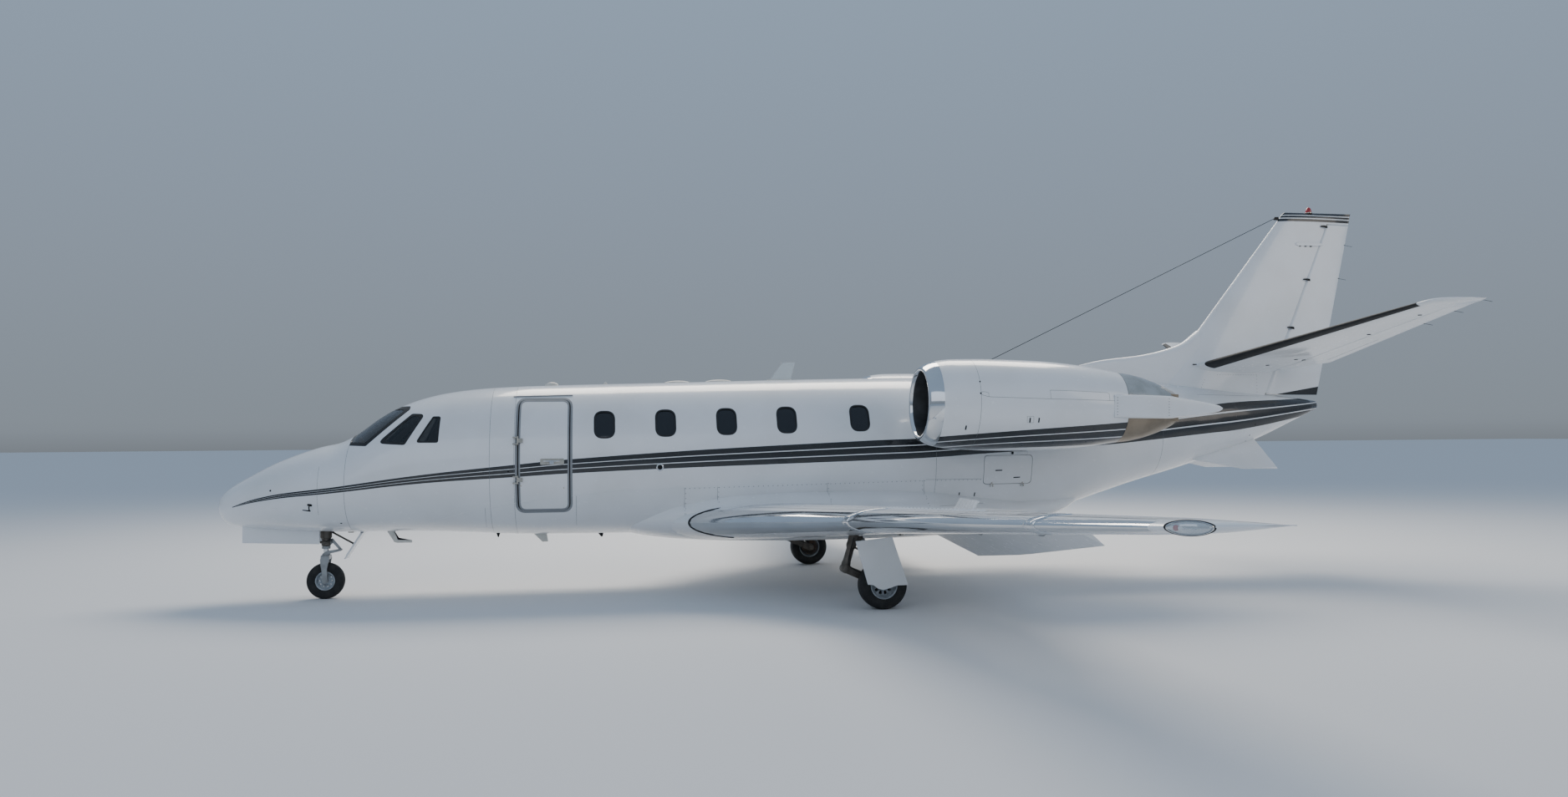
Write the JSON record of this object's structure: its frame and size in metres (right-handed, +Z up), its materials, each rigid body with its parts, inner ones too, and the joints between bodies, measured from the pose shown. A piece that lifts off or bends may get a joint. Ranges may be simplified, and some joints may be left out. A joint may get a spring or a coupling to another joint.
{
  "type": "business jet",
  "caption": "Low-wing business jet with rear-mounted turbofans, a tailplane part-way up its fin, lowered flaps, a side cabin door and its landing gear down.",
  "frame": {"origin": "on the ground under the middle of the overall length and span, where the tyres stand", "axes": "+Z up, +X aft from nose to tail, +Y to the aircraft's own right-hand side"},
  "size_m": [15.79, 17.17, 5.27],
  "materials": {
    "white_paint": "gloss",
    "polished_metal": "polished",
    "bare_metal": "satin",
    "engine_metal": "satin",
    "gear_metal": "satin",
    "furnishing": "matte",
    "tyre_rubber": "matte",
    "tinted_glass": "gloss"
  },
  "bodies": {
    "airframe": {"radome": "white_paint", "nose_bay": "white_paint", "cockpit_shell": "white_paint", "cockpit_glazing": "tinted_glass", "cockpit_floor_and_seats": "furnishing", "cabin_shell": "white_paint", "cabin_windows_left": "tinted_glass", "cabin_windows_right": "tinted_glass", "cabin_floor_and_seats": "furnishing", "baggage_section": "white_paint", "tail_fuselage": "white_paint", "belly_fairing": "white_paint", "fin": "white_paint", "left_tailplane": "white_paint", "right_tailplane": "white_paint", "left_wing": "white_paint", "right_wing": "white_paint", "nose_gear_leg": "gear_metal", "nose_gear_door_left": "white_paint", "nose_gear_door_right": "white_paint", "nose_gear_door_aft": "white_paint", "left_main_gear_leg": "gear_metal", "right_main_gear_leg": "gear_metal", "left_main_gear_door": "white_paint", "right_main_gear_door": "white_paint", "left_nacelle": "white_paint", "right_nacelle": "white_paint", "left_engine": "engine_metal", "right_engine": "engine_metal", "left_pylon": "white_paint", "right_pylon": "white_paint", "left_strake": "white_paint", "right_strake": "white_paint"},
    "cabin_door": {"cabin_door": "white_paint"},
    "baggage_door": {"baggage_door": "white_paint"},
    "rudder": {"rudder": "white_paint"},
    "left_elevator": {"left_elevator": "white_paint"},
    "right_elevator": {"right_elevator": "white_paint"},
    "left_aileron": {"left_aileron": "white_paint"},
    "right_aileron": {"right_aileron": "white_paint"},
    "left_flap": {"left_flap": "white_paint"},
    "right_flap": {"right_flap": "white_paint"},
    "nose_fork": {"nose_fork": "gear_metal"},
    "nose_wheel": {"nose_tyre": "tyre_rubber", "nose_rim": "polished_metal"},
    "left_main_wheel": {"left_main_tyre": "tyre_rubber", "left_main_rim": "polished_metal"},
    "right_main_wheel": {"right_main_tyre": "tyre_rubber", "right_main_rim": "polished_metal"},
    "left_upper_bucket": {"left_upper_bucket": "white_paint"},
    "left_lower_bucket": {"left_lower_bucket": "bare_metal"},
    "right_upper_bucket": {"right_upper_bucket": "white_paint"},
    "right_lower_bucket": {"right_lower_bucket": "bare_metal"},
    "left_fan": {"left_fan": "polished_metal"},
    "right_fan": {"right_fan": "polished_metal"}
  },
  "joints": [
    {"name": "cabin_door_swing", "type": "hinge", "parent": "airframe", "child": "cabin_door", "pos_m": [-4.209, -0.952, 1.5], "axis": [0, 0, -1], "range_deg": [0, 105]},
    {"name": "baggage_door_swing", "type": "hinge", "parent": "airframe", "child": "baggage_door", "pos_m": [1.885, -0.85627, 1.356], "axis": [0.9944, 0.1059, 0], "range_deg": [0, 90]},
    {"name": "rudder_turn", "type": "hinge", "parent": "airframe", "child": "rudder", "pos_m": [6.435, 0, 2.6], "axis": [0.395, 0, 0.9187], "range_deg": [-20, 20]},
    {"name": "right_elevator_turn", "type": "hinge", "parent": "airframe", "child": "right_elevator", "pos_m": [6.5731, 0.17, 2.98185], "axis": [0.13, 0.9725, 0.1932], "range_deg": [-20, 15]},
    {"name": "left_elevator_turn", "type": "hinge", "parent": "airframe", "child": "left_elevator", "pos_m": [6.94596, -2.96, 3.53616], "axis": [-0.13, 0.9725, -0.1932], "range_deg": [-20, 15]},
    {"name": "left_aileron_turn", "type": "hinge", "parent": "airframe", "child": "left_aileron", "pos_m": [0.82083, -8.052, 1.4088], "axis": [0.0339, 0.9972, -0.0665], "range_deg": [-19, 19]},
    {"name": "right_aileron_turn", "type": "hinge", "parent": "airframe", "child": "right_aileron", "pos_m": [0.91083, 5.408, 1.23236], "axis": [-0.0339, 0.9972, 0.0665], "range_deg": [-19, 19]},
    {"name": "left_flap_turn", "type": "hinge", "parent": "airframe", "child": "left_flap", "pos_m": [0.92463, -5.32, 1.1029], "axis": [-0.0365, 0.9962, -0.0784], "range_deg": [-35, 0]},
    {"name": "right_flap_turn", "type": "hinge", "parent": "airframe", "child": "right_flap", "pos_m": [0.77537, 1.25, 0.78249], "axis": [0.0365, 0.9962, 0.0784], "range_deg": [-35, 0]},
    {"name": "nose_steering", "type": "hinge", "parent": "airframe", "child": "nose_fork", "pos_m": [-6.633, 0, 0.6], "axis": [0, 0, 1], "range_deg": [-20, 20]},
    {"name": "nose_wheel_spin", "type": "hinge", "parent": "nose_fork", "child": "nose_wheel", "pos_m": [-6.633, 0, 0.228], "axis": [0, 1, 0], "continuous": true},
    {"name": "left_main_wheel_spin", "type": "hinge", "parent": "airframe", "child": "left_main_wheel", "pos_m": [0.01, -2.275, 0.279], "axis": [0, 1, 0], "continuous": true},
    {"name": "right_main_wheel_spin", "type": "hinge", "parent": "airframe", "child": "right_main_wheel", "pos_m": [0.01, 2.275, 0.279], "axis": [0, 1, 0], "continuous": true},
    {"name": "left_upper_bucket_turn", "type": "hinge", "parent": "airframe", "child": "left_upper_bucket", "pos_m": [3.92722, -1.63, 2.37423], "axis": [0, 1, 0], "range_deg": [0, 70]},
    {"name": "left_lower_bucket_turn", "type": "hinge", "parent": "airframe", "child": "left_lower_bucket", "pos_m": [3.9252, -1.63, 2.28225], "axis": [0, 1, 0], "range_deg": [-70, 0]},
    {"name": "right_upper_bucket_turn", "type": "hinge", "parent": "airframe", "child": "right_upper_bucket", "pos_m": [3.92722, 1.63, 2.37423], "axis": [0, 1, 0], "range_deg": [0, 70]},
    {"name": "right_lower_bucket_turn", "type": "hinge", "parent": "airframe", "child": "right_lower_bucket", "pos_m": [3.9252, 1.63, 2.28225], "axis": [0, 1, 0], "range_deg": [-70, 0]},
    {"name": "left_fan_spin", "type": "hinge", "parent": "airframe", "child": "left_fan", "pos_m": [1.36483, -1.63, 2.3846], "axis": [0.9998, 0, -0.022], "continuous": true},
    {"name": "right_fan_spin", "type": "hinge", "parent": "airframe", "child": "right_fan", "pos_m": [1.36483, 1.63, 2.3846], "axis": [0.9998, 0, -0.022], "continuous": true}
  ],
  "couplings": [
    {"joint": "left_elevator_turn", "follows": "right_elevator_turn", "ratio": 1},
    {"joint": "right_aileron_turn", "follows": "left_aileron_turn", "ratio": -1},
    {"joint": "right_flap_turn", "follows": "left_flap_turn", "ratio": 1},
    {"joint": "left_lower_bucket_turn", "follows": "left_upper_bucket_turn", "ratio": -1},
    {"joint": "right_lower_bucket_turn", "follows": "right_upper_bucket_turn", "ratio": -1}
  ]
}
